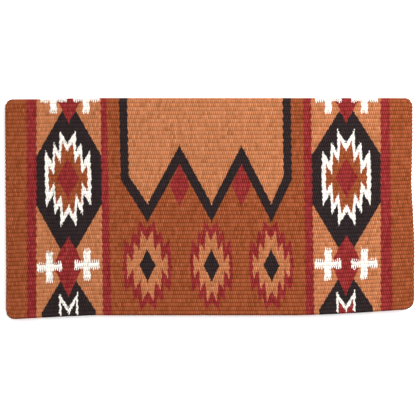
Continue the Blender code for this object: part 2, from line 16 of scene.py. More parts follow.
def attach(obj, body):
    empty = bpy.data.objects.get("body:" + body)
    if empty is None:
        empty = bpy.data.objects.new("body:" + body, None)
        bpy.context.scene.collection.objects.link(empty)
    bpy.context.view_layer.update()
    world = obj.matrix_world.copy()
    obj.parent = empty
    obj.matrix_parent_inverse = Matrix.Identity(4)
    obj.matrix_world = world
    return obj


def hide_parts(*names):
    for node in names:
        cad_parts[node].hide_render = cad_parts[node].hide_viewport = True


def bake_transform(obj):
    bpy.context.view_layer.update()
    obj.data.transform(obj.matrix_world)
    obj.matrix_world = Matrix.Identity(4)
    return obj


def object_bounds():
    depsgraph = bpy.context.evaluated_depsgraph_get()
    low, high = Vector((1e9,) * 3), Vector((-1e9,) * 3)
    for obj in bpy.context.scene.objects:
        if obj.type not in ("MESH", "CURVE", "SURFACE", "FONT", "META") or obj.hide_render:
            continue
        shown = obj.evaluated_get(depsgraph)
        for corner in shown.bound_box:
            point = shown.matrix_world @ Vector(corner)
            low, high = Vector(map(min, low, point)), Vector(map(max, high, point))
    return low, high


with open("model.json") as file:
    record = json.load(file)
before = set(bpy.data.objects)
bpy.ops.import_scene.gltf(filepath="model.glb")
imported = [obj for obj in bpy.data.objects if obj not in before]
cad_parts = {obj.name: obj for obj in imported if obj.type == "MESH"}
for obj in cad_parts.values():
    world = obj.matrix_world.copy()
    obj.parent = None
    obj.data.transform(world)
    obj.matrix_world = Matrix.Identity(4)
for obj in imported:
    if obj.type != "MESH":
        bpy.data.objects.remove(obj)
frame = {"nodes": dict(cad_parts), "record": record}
CAD_LOW, CAD_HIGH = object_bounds()


# Camera
# It looks straight down on the middle of the folded blanket, from far enough for the ribs to
# stay parallel across the whole cloth.

VIEW_CENTRE = (-0.00282, 0.00104)
VIEW_WIDTH = 0.8853
LENS_MM = 100
SENSOR_MM = 36

camera = bpy.data.objects.new("camera", bpy.data.cameras.new("camera"))
camera.data.lens = LENS_MM
camera.data.sensor_width = SENSOR_MM
camera.data.clip_end = 50
camera.location = (*VIEW_CENTRE, CAD_HIGH[2] + VIEW_WIDTH * LENS_MM / SENSOR_MM)
bpy.context.collection.objects.link(camera)
bpy.context.scene.camera = camera
bpy.context.scene.view_settings.view_transform = "Standard"


# Studio
# A plain white floor under a wide soft lamp on the fold's side, towards the right, and an even
# white surround, so that the hem keeps a thin soft shadow.

FLOOR_HALF = 4.0
FLOOR_SEEN = 1.75
FLOOR_BOUNCE = 0.6
SURROUND_SEEN = 1.0
SURROUND_STRENGTH = 0.745
LAMP_WATTS = 79
LAMP_SIZE = 1.3
LAMP_PLACE = (1.9, 1.4, 1.35)
LAMP_AIM = (0, 0, 0)


def add_node(tree, kind, inputs=None, **settings):
    """Adds a node. inputs gives its sockets, by name or place, a value or another's output."""
    made = tree.nodes.new(kind)
    for name, value in settings.items():
        setattr(made, name, value)
    for name, value in (inputs or {}).items():
        if isinstance(value, bpy.types.NodeSocket):
            tree.links.new(value, made.inputs[name])
        else:
            made.inputs[name].default_value = value
    return made


def seen_or_lighting(tree, lighting, seen):
    """Value that is one thing to rays that see a surface, and another to those that light it."""
    rays = add_node(tree, "ShaderNodeLightPath")
    sees = rays.outputs["Is Camera Ray"]
    for kind in ("Is Glossy Ray", "Is Transmission Ray"):
        either = add_node(
            tree, "ShaderNodeMath", {0: sees, 1: rays.outputs[kind]}, operation="MAXIMUM"
        )
        sees = either.outputs[0]
    return add_node(
        tree, "ShaderNodeMapRange", {"Value": sees, "To Min": lighting, "To Max": seen}
    ).outputs[0]


world = bpy.data.worlds.new("surround")
world.use_nodes = True
world.node_tree.nodes.clear()
sky = add_node(
    world.node_tree, "ShaderNodeBackground",
    {
        "Color": (1, 1, 1, 1),
        "Strength": seen_or_lighting(world.node_tree, SURROUND_STRENGTH, SURROUND_SEEN),
    },
)
add_node(world.node_tree, "ShaderNodeOutputWorld", {"Surface": sky.outputs[0]})
bpy.context.scene.world = world

lamp_data = bpy.data.lights.new("soft_lamp", "AREA")
lamp_data.shape = "DISK"
lamp_data.size = LAMP_SIZE
lamp_data.energy = LAMP_WATTS
lamp = bpy.data.objects.new("soft_lamp", lamp_data)
lamp.location = LAMP_PLACE
lamp.rotation_euler = (Vector(LAMP_AIM) - Vector(LAMP_PLACE)).to_track_quat("-Z", "Y").to_euler()
bpy.context.collection.objects.link(lamp)

floor_mesh = bpy.data.meshes.new("floor")
floor_mesh.from_pydata(
    [(x * FLOOR_HALF, y * FLOOR_HALF, 0) for x, y in ((-1, -1), (1, -1), (1, 1), (-1, 1))],
    [], [(0, 1, 2, 3)],
)
floor = bpy.data.objects.new("floor", floor_mesh)
bpy.context.collection.objects.link(floor)
floor_white = bpy.data.materials.new("white floor")
floor_white.use_nodes = True
floor_white.node_tree.nodes.clear()
floor_matt = add_node(
    floor_white.node_tree, "ShaderNodeBsdfDiffuse",
    {"Color": seen_or_lighting(floor_white.node_tree, FLOOR_BOUNCE, FLOOR_SEEN)},
)
add_node(floor_white.node_tree, "ShaderNodeOutputMaterial", {"Surface": floor_matt.outputs[0]})
floor_mesh.materials.append(floor_white)


# Wool yarns
# Hand-spun single-ply wool, dyed in the skein, so every pick of weft is a little darker or
# lighter than the next. The lighter floats are painted paler, a painted sheen of fibres that
# catch the light. It is matt, and its fibres catch light at the edges. The ends and sides of
# the floats, where they dive into the grooves and under their neighbours, get painted shade.

TWIST_TURNS = 2.6
TWIST_LEAN = 1.1
TWIST_HEIGHT = 0.0004
FIBRE_SCALE = 900
FIBRE_HEIGHT = 0.00025
SKEIN_SCALE = (330, 150, 330)
SKEIN_SWING = 0.16
FLOAT_SWING = 0.16
TWIST_SWING = 0.10
# How much paler the lighter floats are painted: a painted sheen
SHEEN_PALING = 0.12
# A float of this value keeps its full colour
FULL_COLOUR_VALUE = 0.85
# Colour, and how much painted shade darkens the ends and the sides of the floats
WOOLS = {
    "rust_wool": ("#A8552D", 0.36, 0.32),
    "red_wool": ("#9E302F", 0.34, 0.36),
    "tan_wool": ("#CA7F51", 0.02, 0.36),
    "black_wool": ("#302425", 0.40, 0.40),
    "white_wool": ("#FFFAF1", 0.02, 0.04),
    # The ground cloth's dark brown is partly the warp's own colour and partly painted shade that
    # shows in the gaps between floats
    "warp_and_gap_shade_wool": ("#5A3A2C", 0.30, 0.30),
}


def linear(hex_colour):
    """sRGB hex to linear RGBA."""
    found = []
    for start in (1, 3, 5):
        value = int(hex_colour[start:start + 2], 16) / 255
        found.append(value / 12.92 if value <= 0.04045 else ((value + 0.055) / 1.055) ** 2.4)
    return (*found, 1)


def spun_wool(name, hex_colour, painted_end_shade, painted_side_shade):
    material = bpy.data.materials.new(name)
    material.use_nodes = True
    tree = material.node_tree
    shader = tree.nodes["Principled BSDF"]
    shader.inputs["Roughness"].default_value = 0.93
    shader.inputs["Specular IOR Level"].default_value = 0.18
    shader.inputs["Sheen Weight"].default_value = 0.12
    shader.inputs["Sheen Roughness"].default_value = 0.55
    shader.inputs["Sheen Tint"].default_value = linear(hex_colour)

    yarn = add_node(tree, "ShaderNodeUVMap", uv_map="yarn")
    along = add_node(tree, "ShaderNodeSeparateXYZ", {0: yarn.outputs[0]})
    leaning = add_node(
        tree, "ShaderNodeMath",
        {0: along.outputs["X"], 1: TWIST_LEAN, 2: along.outputs["Y"]}, operation="MULTIPLY_ADD",
    )
    turning = add_node(
        tree, "ShaderNodeMath",
        {0: leaning.outputs[0], 1: TWIST_TURNS * math.tau}, operation="MULTIPLY",
    )
    twist = add_node(tree, "ShaderNodeMath", {0: turning.outputs[0]}, operation="SINE")

    place = add_node(tree, "ShaderNodeTexCoord")
    fibre = add_node(
        tree, "ShaderNodeTexNoise",
        {"Vector": place.outputs["Object"], "Scale": FIBRE_SCALE, "Detail": 2.0},
    )
    skein_place = add_node(
        tree, "ShaderNodeMapping", {"Vector": place.outputs["Object"], "Scale": SKEIN_SCALE}
    )
    skein = add_node(
        tree, "ShaderNodeTexNoise",
        {"Vector": skein_place.outputs[0], "Scale": 1.0, "Detail": 3.0},
    )

    float_shade = add_node(tree, "ShaderNodeAttribute", attribute_name="shade")
    value = add_node(
        tree, "ShaderNodeMath",
        {0: float_shade.outputs["Fac"], 1: FLOAT_SWING, 2: 1.0}, operation="MULTIPLY_ADD",
    )
    skein_value = add_node(
        tree, "ShaderNodeMapRange",
        {"Value": skein.outputs["Fac"], "To Min": -SKEIN_SWING, "To Max": SKEIN_SWING},
    )
    value = add_node(tree, "ShaderNodeMath", {0: value.outputs[0], 1: skein_value.outputs[0]})
    value = add_node(
        tree, "ShaderNodeMath",
        {0: twist.outputs[0], 1: TWIST_SWING / 2, 2: value.outputs[0]}, operation="MULTIPLY_ADD",
    )
    # Painted shade: each float darker towards its ends and its sides, where it dives into the
    # grooves and under its neighbours
    for axis, shade in (("Y", painted_end_shade), ("X", painted_side_shade)):
        off = add_node(
            tree, "ShaderNodeMath", {0: along.outputs[axis], 1: 0.5}, operation="SUBTRACT"
        )
        square = add_node(
            tree, "ShaderNodeMath", {0: off.outputs[0], 1: off.outputs[0]}, operation="MULTIPLY"
        )
        value = add_node(
            tree, "ShaderNodeMath",
            {0: square.outputs[0], 1: -4 * shade, 2: value.outputs[0]}, operation="MULTIPLY_ADD",
        )
    # Painted sheen: the lighter a float is, the paler its colour, as where fibres catch the light
    sheen_saturation = add_node(
        tree, "ShaderNodeMath",
        {0: value.outputs[0], 1: -SHEEN_PALING, 2: 1 + FULL_COLOUR_VALUE * SHEEN_PALING},
        operation="MULTIPLY_ADD",
    )
    dyed = add_node(
        tree, "ShaderNodeHueSaturation",
        {
            "Saturation": sheen_saturation.outputs[0], "Value": value.outputs[0],
            "Color": linear(hex_colour),
        },
    )
    tree.links.new(dyed.outputs[0], shader.inputs["Base Color"])

    twisted = add_node(
        tree, "ShaderNodeBump",
        {"Height": twist.outputs[0], "Distance": TWIST_HEIGHT, "Strength": 0.6},
    )
    fuzzy = add_node(
        tree, "ShaderNodeBump",
        {
            "Height": fibre.outputs["Fac"], "Distance": FIBRE_HEIGHT, "Strength": 0.8,
            "Normal": twisted.outputs[0],
        },
    )
    tree.links.new(fuzzy.outputs[0], shader.inputs["Normal"])
    return material


wools = {name: spun_wool(name, *look) for name, look in WOOLS.items()}


# Ground cloth
# The warps and the wefts packed between them: one thick cloth cut as a single sheet, folded
# across its middle. It lies just under the floats and round the fold.

LAYER = 0.0077
FOLD_RADIUS = 0.0080
HEM_ROUND = 0.0034
SIDE_ROUND = 0.0026
HEM_CORNER = 0.021
CORNER_GIVE = 0.060
LEAST_OFFSET = 0.0008
FOLDED_DEPTH = 0.4649
FOLD_WIDTH = 0.8657
HEM_WIDTH = 0.8700
HEM_DROP, HEM_DROP_REACH, HEM_DROP_EASE = 0.0092, 0.185, 1.1
HEM_RISE, HEM_RISE_REACH, HEM_RISE_EASE = 0.0138, 0.257, 1.5
FOLD_CORNER, FOLD_CORNER_REACH = 0.005, 0.014
# The side edges pull in and spread a little between the fold and the hem: (depth, further right)
LEFT_SIDE_WAVE = ((0, -0.0012), (0.05, -0.0013), (0.2, -0.0003), (0.36, 0.0008), (0.46, 0.0005))
RIGHT_SIDE_WAVE = (
    (0, 0.0033), (0.06, 0.0025), (0.09, 0.0023), (0.115, 0.0013), (0.136, 0.0008),
    (0.166, -0.0003), (0.184, -0.0008), (0.201, 0), (0.218, 0.0006), (0.235, 0.0016),
    (0.27, 0.0028), (0.295, 0.0040), (0.32, 0.0043), (0.37, 0.0034), (0.45, 0.0026),
)
SIDE_WAVE_REACH = 0.090
FOLD_SAG, FOLD_SAG_START, FOLD_SAG_END, FOLD_SAG_REACH = 0.0026, 0.075, 0.170, 0.100
CORNER_SAG, CORNER_SAG_REACH = 0.0060, 0.014
OUTER_RIBS = 55.5
INNER_RIBS = 53.5
RIB = 0.0083
SIDE_ARC = 0.0104
FACE_WIDTH = HEM_WIDTH - 2 * SIDE_ROUND
GROUND_SUNK = 0.0022
NECK_THICKNESS = 0.0012
NECK_STEPS = 16
BEND_START = 0.0077
BEND_END = 0.0083
# Where the ground cloth is cut, in ribs from the fold line and in metres from the side edges
FOLD_RIBS, FOLD_STATIONS = (0.04, 1.5), 10
FACE_FIRST_RIB, FACE_STATIONS = 2.5, 18
HEM_TURN_RIBS, HEM_TURN_STATIONS, HEM_CLEAR_RIBS = 2, 17, 3
EDGE_CUTS = np.array([0, 0.0004, 0.001, 0.002, 0.0035, 0.0055, 0.008, 0.011, 0.0145])
MIDDLE_START, MIDDLE_CUTS = 0.018, 60


def eased(share):
    """Goes smoothly from 0 to 1 as the share does, and stays there."""
    share = np.clip(share, 0, 1)
    return share**2 * (3 - 2 * share)


def lay(across, ribs, sunk):
    """Depth and height in the lower half, and x, of points of the cloth.

    across is the distance from the left face edge, and past either edge it runs on round the
    side. ribs counts the warps from the fold line, 55.5 at the hem. sunk is how far under the
    cloth's surface a point is.
    """
    past = np.maximum(np.maximum(-across, across - FACE_WIDTH), 0)
    turn = np.minimum(past / SIDE_ARC, 1) * math.pi
    offset = SIDE_ROUND * (1 - np.sin(turn)) + sunk * np.sin(turn)
    sunk = LAYER / 2 * (1 - np.cos(turn)) + sunk * np.cos(turn)
    x_hem = np.where(across < 0, offset, SIDE_ROUND + across)
    x_hem = np.where(across > FACE_WIDTH, HEM_WIDTH - offset, x_hem)

    drop = HEM_DROP * np.maximum(0, 1 - x_hem / HEM_DROP_REACH) ** HEM_DROP_EASE
    within = np.maximum(0, x_hem - HEM_WIDTH + HEM_RISE_REACH)
    rise = HEM_RISE * (within / HEM_RISE_REACH) ** HEM_RISE_EASE
    hem = FOLDED_DEPTH + drop - rise
    near = np.clip(np.minimum(x_hem, HEM_WIDTH - x_hem), LEAST_OFFSET, HEM_CORNER)
    inset = HEM_CORNER - np.sqrt(HEM_CORNER**2 - (HEM_CORNER - near) ** 2)

    quarter = math.pi / 2
    fold_arc = quarter * FOLD_RADIUS
    hem_arc = quarter * HEM_ROUND
    wall = LAYER - 2 * HEM_ROUND
    outer = fold_arc + hem - FOLD_RADIUS - HEM_ROUND + hem_arc + wall / 2
    inner = wall / 2 + hem_arc + hem - HEM_ROUND - FOLD_RADIUS
    run = ribs / OUTER_RIBS * outer
    run = run - inset * np.clip((run - outer + CORNER_GIVE) / CORNER_GIVE, 0, 1) ** 2
    back = (ribs - OUTER_RIBS) / INNER_RIBS * inner
    back = back - inset * (1 - (1 - np.clip(back / CORNER_GIVE, 0, 1)) ** 2)
    run = np.where(ribs <= OUTER_RIBS, run, outer - inset + back)
    hem = hem - inset

    flat_end = fold_arc + hem - FOLD_RADIUS - HEM_ROUND
    wall_start = flat_end + hem_arc
    wall_end = wall_start + wall
    inner_start = wall_end + hem_arc
    lean = np.select(
        [run < fold_arc, run < flat_end, run < wall_start, run < wall_end, run < inner_start],
        [run / FOLD_RADIUS - quarter, 0, (run - flat_end) / HEM_ROUND, quarter,
         quarter + (run - wall_end) / HEM_ROUND],
        math.pi,
    )
    depth = np.select(
        [run < fold_arc, run < flat_end, run < inner_start],
        [FOLD_RADIUS * (1 + np.sin(lean)), FOLD_RADIUS + run - fold_arc,
         hem - HEM_ROUND + HEM_ROUND * np.sin(lean)],
        hem - HEM_ROUND - (run - inner_start),
    )
    height = np.select(
        [run < fold_arc, run < flat_end, run < wall_start, run < wall_end, run < inner_start],
        [FOLD_RADIUS * (1 - np.cos(lean)), 0, HEM_ROUND * (1 - np.cos(lean)),
         HEM_ROUND + run - wall_start, LAYER - HEM_ROUND * (1 + np.cos(lean))],
        LAYER,
    )
    pull = FOLD_CORNER * np.maximum(0, 1 - depth / FOLD_CORNER_REACH) ** 2
    right = FOLD_WIDTH + (HEM_WIDTH - FOLD_WIDTH) * depth / FOLDED_DEPTH - pull
    x = pull + x_hem / HEM_WIDTH * (right - pull)
    near_left = eased(1 - x_hem / SIDE_WAVE_REACH)
    near_right = eased(1 - (HEM_WIDTH - x_hem) / SIDE_WAVE_REACH)
    x = x + near_left * np.interp(depth, *zip(*LEFT_SIDE_WAVE))
    x = x + near_right * np.interp(depth, *zip(*RIGHT_SIDE_WAVE))
    sag = FOLD_SAG * eased((FOLD_SAG_END - x_hem) / (FOLD_SAG_END - FOLD_SAG_START))
    sag = sag * eased(1 - depth / FOLD_SAG_REACH)
    side = np.clip(np.minimum(x_hem, HEM_WIDTH - x_hem) / CORNER_SAG_REACH, 0, 1)
    sag = sag + CORNER_SAG * (1 - side) ** 2 * eased(1 - depth / CORNER_GIVE)
    return x, depth + sag - sunk * np.sin(lean), height + sunk * np.cos(lean)


def put(x, depth, height, upper):
    """Points of the lower half in the part's frame, or their mirror images in the upper half."""
    z = 2 * FOLD_RADIUS - height if upper else height
    return np.stack([CAD_LOW[0] + x, CAD_HIGH[1] - depth, z], axis=-1)


def mesh_object(name, points, faces, material):
    mesh = bpy.data.meshes.new(name)
    mesh.from_pydata(points.tolist(), [], faces)
    mesh.materials.append(material)
    mesh.shade_smooth()
    made = bpy.data.objects.new(name, mesh)
    bpy.context.collection.objects.link(made)
    return made


ground_ribs = np.concatenate([
    np.linspace(*FOLD_RIBS, FOLD_STATIONS),
    np.linspace(FACE_FIRST_RIB, OUTER_RIBS - HEM_CLEAR_RIBS, FACE_STATIONS),
    OUTER_RIBS + np.linspace(-HEM_TURN_RIBS, HEM_TURN_RIBS, HEM_TURN_STATIONS),
    np.linspace(OUTER_RIBS + HEM_CLEAR_RIBS, OUTER_RIBS + INNER_RIBS, FACE_STATIONS),
])
middle = np.linspace(MIDDLE_START, FACE_WIDTH - MIDDLE_START, MIDDLE_CUTS)
ground_across = np.concatenate([EDGE_CUTS, middle, FACE_WIDTH - EDGE_CUTS[::-1]])
rows = []
for across in ground_across:
    x, depth, height = lay(np.full(len(ground_ribs), across), ground_ribs, GROUND_SUNK)
    lower = put(x, depth, height, False)
    upper = put(x, depth, height, True)
    neck_x = np.full(NECK_STEPS + 1, x[0])
    neck_z = np.linspace(BEND_START, BEND_END, NECK_STEPS + 1)
    skin_depth = np.full(NECK_STEPS + 1, depth[0])
    neck = put(neck_x, skin_depth + NECK_THICKNESS, neck_z, False)
    skin = put(neck_x, skin_depth, neck_z, False)
    rows.append(np.concatenate([lower, neck, upper[::-1], skin[::-1]]))
ring = len(rows[0])
faces = [
    (a * ring + b, a * ring + (b + 1) % ring, (a + 1) * ring + (b + 1) % ring, (a + 1) * ring + b)
    for a in range(len(rows) - 1) for b in range(ring)
]
count = len(ground_ribs)
neck_start = count
upper_start = neck_start + NECK_STEPS + 1
skin_start = upper_start + count
# The sides close between stations that lie opposite each other on the outer and the inner face
hem_station = (count - 1 + FOLD_STATIONS) // 2
for first, flip in ((0, False), ((len(rows) - 1) * ring, True)):
    caps = [(a, a + 1, count - 1) for a in range(FOLD_STATIONS)]
    for a in range(FOLD_STATIONS, hem_station - 1):
        facing = count - 1 + FOLD_STATIONS - a
        caps.append((a, a + 1, facing - 1, facing))
    caps.append((hem_station - 1, hem_station, hem_station + 1))
    caps += [tuple(upper_start + count - 1 - corner for corner in cap[::-1]) for cap in caps]
    for a in range(NECK_STEPS):
        caps.append((neck_start + a, neck_start + a + 1, ring - 2 - a, ring - 1 - a))
    caps.append((neck_start - 1, neck_start, ring - 1, 0))
    caps.append((upper_start - 1, upper_start, skin_start - 1, skin_start))
    for cap in caps:
        cap = tuple(first + corner for corner in cap)
        faces.append(cap[::-1] if flip else cap)
# Its dark brown stands partly for the warp and partly for painted shade in the gaps between floats
ground = mesh_object("ground_cloth", np.concatenate(rows), faces, wools["warp_and_gap_shade_wool"])
ground.data.flip_normals()
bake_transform(ground)


# Weft floats
# Each float is one pass of weft over one warp, and dives under the next. Picks alternate, so
# the floats lie like bricks. Where two colours meet, each pick turns back round the last warp,
# which leaves a fine comb across the picks and a slight wave along them.

COLUMNS = 192
SIDE_COLUMNS = 3
SIDE_LAST_RIB = 53
BRICK_SHIFT = 0.25
FLOAT_WIDTH = 0.0050
FLOAT_LENGTH = 0.0104
SIDE_FALL = 0.0014
END_FALL = 0.0025
WIDTH_JITTER = 0.05
LENGTH_JITTER = 0.03
TURN_JITTER = 0.03
COMB_TOOTH = 0.0036
COMB_SQUARENESS = 1.6
COMB_UNEVEN = 0.4
STEP_SHARE = 0.22
EDGE_WAVE = 0.0009
EDGE_REACH_ACROSS = 0.0045
EDGE_REACH_ALONG = 0.0065
EDGE_SUNK = 0.00012
SEED = 11
STREAK_SPREAD = 0.1
SHADE_SPREAD = 0.55
SHADE_LIMIT = 1.6
# Faces across and along a float: hidden sides, outer side, and the same where colours meet
GRADES = ((2, 3), (4, 4), (3, 6), (4, 8))

weave = bpy.data.node_groups.new("weft floats", "GeometryNodeTree")
weave.interface.new_socket("Points", in_out="INPUT", socket_type="NodeSocketGeometry")
for name, kind in (
    ("Float width", "NodeSocketFloat"), ("Float length", "NodeSocketFloat"),
    ("Side fall", "NodeSocketFloat"), ("End fall", "NodeSocketFloat"),
    ("Wool", "NodeSocketMaterial"),
):
    weave.interface.new_socket(name, in_out="INPUT", socket_type=kind)
weave.interface.new_socket("Floats", in_out="OUTPUT", socket_type="NodeSocketGeometry")
given = add_node(weave, "NodeGroupInput").outputs
position = add_node(weave, "GeometryNodeInputPosition")
spot = add_node(weave, "ShaderNodeSeparateXYZ", {0: position.outputs[0]})
falls = []
for axis, size, fall in (("X", "Float width", "Side fall"), ("Y", "Float length", "End fall")):
    share = add_node(
        weave, "ShaderNodeMath", {0: spot.outputs[axis], 1: given[size]}, operation="DIVIDE"
    )
    square = add_node(
        weave, "ShaderNodeMath", {0: share.outputs[0], 1: share.outputs[0]}, operation="MULTIPLY"
    )
    depth = add_node(
        weave, "ShaderNodeMath", {0: square.outputs[0], 1: given[fall]}, operation="MULTIPLY"
    )
    falls.append(depth.outputs[0])
fallen = add_node(weave, "ShaderNodeMath", {0: falls[0], 1: falls[1]})
lowered = add_node(weave, "ShaderNodeMath", {0: fallen.outputs[0], 1: -4.0}, operation="MULTIPLY")
lowering = add_node(weave, "ShaderNodeCombineXYZ", {"Z": lowered.outputs[0]})
turn, size = (
    add_node(
        weave, "GeometryNodeInputNamedAttribute", {"Name": name}, data_type="FLOAT_VECTOR"
    ).outputs[0]
    for name in ("turn", "size")
)
grade = add_node(weave, "GeometryNodeInputNamedAttribute", {"Name": "grade"}, data_type="INT")
joined = add_node(weave, "GeometryNodeJoinGeometry")
for number, (faces_across, faces_along) in enumerate(GRADES):
    chosen = add_node(
        weave, "FunctionNodeCompare", {2: grade.outputs[0], 3: number},
        data_type="INT", operation="EQUAL",
    )
    grid = add_node(
        weave, "GeometryNodeMeshGrid",
        {
            "Size X": given["Float width"], "Size Y": given["Float length"],
            "Vertices X": faces_across + 1, "Vertices Y": faces_along + 1,
        },
    )
    mapped = add_node(
        weave, "GeometryNodeStoreNamedAttribute",
        {"Geometry": grid.outputs["Mesh"], "Name": "yarn", "Value": grid.outputs["UV Map"]},
        data_type="FLOAT2", domain="CORNER",
    )
    bowed = add_node(
        weave, "GeometryNodeSetPosition",
        {"Geometry": mapped.outputs[0], "Offset": lowering.outputs[0]},
    )
    copies = add_node(
        weave, "GeometryNodeInstanceOnPoints",
        {
            "Points": given["Points"], "Selection": chosen.outputs[0],
            "Instance": bowed.outputs[0], "Rotation": turn, "Scale": size,
        },
    )
    weave.links.new(copies.outputs[0], joined.inputs[0])
real = add_node(weave, "GeometryNodeRealizeInstances", {0: joined.outputs[0]})
coloured = add_node(
    weave, "GeometryNodeSetMaterial", {"Geometry": real.outputs[0], "Material": given["Wool"]}
)
add_node(weave, "NodeGroupOutput", {0: coloured.outputs[0]})
weave_inputs = {
    item.name: item.identifier for item in weave.interface.items_tree if item.in_out == "INPUT"
}


def woven(points, turn, size, **marks):
    """All floats as arrays, still flat: corners, faces, their yarn map and each corner's marks."""
    mesh = bpy.data.meshes.new("floats")
    mesh.from_pydata(points.tolist(), [], [])
    for key, values in (("turn", turn), ("size", size)):
        layer = mesh.attributes.new(key, "FLOAT_VECTOR", "POINT")
        layer.data.foreach_set("vector", values.astype(np.float32).ravel())
    for key, values in marks.items():
        kind = "FLOAT" if key == "shade" else "INT"
        mesh.attributes.new(key, kind, "POINT").data.foreach_set("value", values)
    made = bpy.data.objects.new("floats", mesh)
    bpy.context.collection.objects.link(made)
    modifier = made.modifiers.new("floats", "NODES")
    modifier.node_group = weave
    for socket, value in (
        ("Float width", FLOAT_WIDTH), ("Float length", FLOAT_LENGTH),
        ("Side fall", SIDE_FALL), ("End fall", END_FALL), ("Wool", wools["warp_and_gap_shade_wool"]),
    ):
        modifier[weave_inputs[socket]] = value
    graph = bpy.context.evaluated_depsgraph_get()
    real_mesh = bpy.data.meshes.new_from_object(made.evaluated_get(graph))
    bpy.data.objects.remove(made)
    corners = len(real_mesh.vertices)
    found = {
        "at": np.empty((corners, 3), dtype=np.float32),
        "faces": np.empty((len(real_mesh.polygons), 4), dtype=np.int32),
        "yarn": np.empty((len(real_mesh.polygons), 4, 2), dtype=np.float32),
    }
    real_mesh.vertices.foreach_get("co", found["at"].ravel())
    real_mesh.loops.foreach_get("vertex_index", found["faces"].ravel())
    real_mesh.attributes["yarn"].data.foreach_get("vector", found["yarn"].ravel())
    for key in marks:
        found[key] = np.empty(corners, dtype=np.float32 if key == "shade" else np.int32)
        real_mesh.attributes[key].data.foreach_get("value", found[key])
    bpy.data.meshes.remove(real_mesh)
    return found


def cloth_piece(name, at, floats, chosen, wool_name, turned):
    """Object made of the chosen faces. at gives every corner's place."""
    faces = floats["faces"][chosen]
    yarn = floats["yarn"][chosen]
    if turned:
        faces, yarn = faces[:, ::-1], yarn[:, ::-1]
    used, corners = np.unique(faces, return_inverse=True)
    mesh = bpy.data.meshes.new(name)
    mesh.vertices.add(len(used))
    mesh.loops.add(faces.size)
    mesh.polygons.add(len(faces))
    mesh.vertices.foreach_set("co", at[used].astype(np.float32).ravel())
    mesh.loops.foreach_set("vertex_index", corners.astype(np.int32).ravel())
    mesh.polygons.foreach_set("loop_start", np.arange(0, faces.size, 4, dtype=np.int32))
    mesh.update(calc_edges=True)
    mesh.uv_layers.new(name="yarn").uv.foreach_set("vector", yarn.astype(np.float32).ravel())
    mesh.attributes.new("shade", "FLOAT", "POINT").data.foreach_set("value", floats["shade"][used])
    mesh.shade_smooth()
    mesh.materials.append(wools[wool_name])
    made = bpy.data.objects.new(name, mesh)
    bpy.context.collection.objects.link(made)
    return made


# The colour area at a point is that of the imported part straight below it. Three small areas are
# drawn here alone: the half diamonds at the fold and the ground of the right tip at the hem.
FOLD_DIAMONDS = {"left": 0.1360, "right": 0.7273}
FOLD_DIAMOND_SIDE = (
    (0, 0.0277), (0.0060, 0.0277), (0.0113, 0.0227), (0.0160, 0.0190), (0.0273, 0.0138),
    (0.0335, 0.0155), (0.0370, 0.0200), (0.0600, 0.0200),
)
HEM_GROUND_MIDDLE = 0.7257
HEM_GROUND_HALF_WIDTH = 0.0156
HEM_GROUND_NOTCH = 0.0090
HEM_GROUND_SLOPE = 1.52
DOWN = Vector((0, 0, -1))

area_names = [name for name in frame["nodes"] if not name.startswith("lower_")]
area_wools = {part["node"]: part["material_slot"] for part in frame["record"]["subparts"]}
all_points, all_faces, face_area = [], [], []
for index, name in enumerate(area_names):
    node = frame["nodes"][name]
    base = len(all_points)
    all_points += [node.matrix_world @ vertex.co for vertex in node.data.vertices]
    for polygon in node.data.polygons:
        all_faces.append([base + corner for corner in polygon.vertices])
        face_area.append(index)
areas_above = BVHTree.FromPolygons(all_points, all_faces)
for name in ("fold_diamond_left", "fold_diamond_right", "hem_ground_right"):
    area_names.append(name)
    area_wools[name] = "red_wool"


def areas_at(x, y):
    """Each point's colour area, as its number in area_names."""
    found = np.empty(len(x), dtype=int)
    for index, (px, py) in enumerate(zip(x.tolist(), y.tolist())):
        face = areas_above.ray_cast(Vector((px, py, 1)), DOWN)[2]
        if face is None:
            face = areas_above.find_nearest(Vector((px, py, CAD_HIGH[2])))[2]
        found[index] = face_area[face]
    depth = CAD_HIGH[1] - y
    for side, middle_x in FOLD_DIAMONDS.items():
        offset = np.abs(x - CAD_LOW[0] - middle_x)
        within = offset < np.interp(depth, *zip(*FOLD_DIAMOND_SIDE))
        within &= found == area_names.index(f"column_{side}_fold_ground")
        found[within] = area_names.index(f"fold_diamond_{side}")
    offset = np.abs(x - CAD_LOW[0] - HEM_GROUND_MIDDLE)
    within = FOLDED_DEPTH - depth < HEM_GROUND_NOTCH + HEM_GROUND_SLOPE * offset
    within &= (offset < HEM_GROUND_HALF_WIDTH) & (found == area_names.index("hem_medallion_right"))
    found[within] = area_names.index("hem_ground_right")
    return found


# Every float's place in the cloth, for one half. The other half is its mirror image.
dice = np.random.default_rng(SEED)
spacing = FACE_WIDTH / COLUMNS
last_rib = int(OUTER_RIBS + INNER_RIBS)
columns, ribs = np.meshgrid(np.arange(COLUMNS), np.arange(last_rib))
columns, ribs = columns.ravel(), ribs.ravel()
shift = np.where(ribs % 2 == 0, BRICK_SHIFT, -BRICK_SHIFT)
face_across = (columns + 0.5 + shift) * spacing
side_columns, side_ribs = np.meshgrid(np.arange(SIDE_COLUMNS), np.arange(SIDE_LAST_RIB + 1))
side_columns, side_ribs = side_columns.ravel(), side_ribs.ravel()
side_past = (side_columns + 0.5) * SIDE_ARC / SIDE_COLUMNS
float_across = np.concatenate([face_across, -side_past, FACE_WIDTH + side_past])
float_ribs = np.concatenate([ribs, side_ribs, side_ribs])
float_columns = np.concatenate([columns, -1 - side_columns, COLUMNS + side_columns])
total = len(float_across)
streak = dice.normal(size=COLUMNS + 2 * SIDE_COLUMNS + 2)
float_shade = STREAK_SPREAD * streak[float_columns + SIDE_COLUMNS + 1]
float_shade = float_shade + SHADE_SPREAD * dice.normal(size=total)
float_size = np.ones((total, 3))
